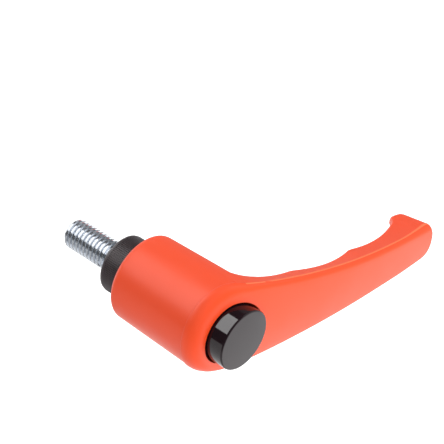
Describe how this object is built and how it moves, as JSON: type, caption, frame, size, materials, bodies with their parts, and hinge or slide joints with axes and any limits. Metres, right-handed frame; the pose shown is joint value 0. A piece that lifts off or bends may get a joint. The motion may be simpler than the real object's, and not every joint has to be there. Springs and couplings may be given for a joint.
{
  "type": "clamping lever",
  "caption": "Adjustable clamping lever: arched handle with hooked tip and hollow underside on a tapered hub, push button on top, toothed insert with serrated collar and threaded stud below.",
  "frame": {"origin": "on the stud's axis, at the seating face of its boss", "axes": "+Z along the stud's axis towards the push button, +X along the arm towards its hooked tip"},
  "size_m": [0.0891, 0.025, 0.0602],
  "materials": {
    "zinc_steel": "bright zinc plate",
    "insert_black": "fine satin",
    "screw_steel": "satin",
    "spring_steel": "drawn wire",
    "button_black": "polished",
    "lever_orange": "fine moulded satin"
  },
  "bodies": {
    "stud_core": {"threaded_stud": "zinc_steel", "toothed_insert": "insert_black", "retaining_screw": "screw_steel", "push_button": "button_black"},
    "spring": {"return_spring": "spring_steel"},
    "lever": {"lever_body": "lever_orange"}
  },
  "joints": [
    {"name": "index_turn", "type": "hinge", "parent": "stud_core", "child": "spring", "pos_m": [0, 0, 0], "axis": [0, 0, 1], "continuous": true},
    {"name": "release_lift", "type": "slide", "parent": "spring", "child": "lever", "axis": [0, 0, 1], "range_m": [0, 0.0045], "stiffness_N_per_m": 3800, "springref_m": -0.004, "deforming": ["return_spring"]}
  ]
}
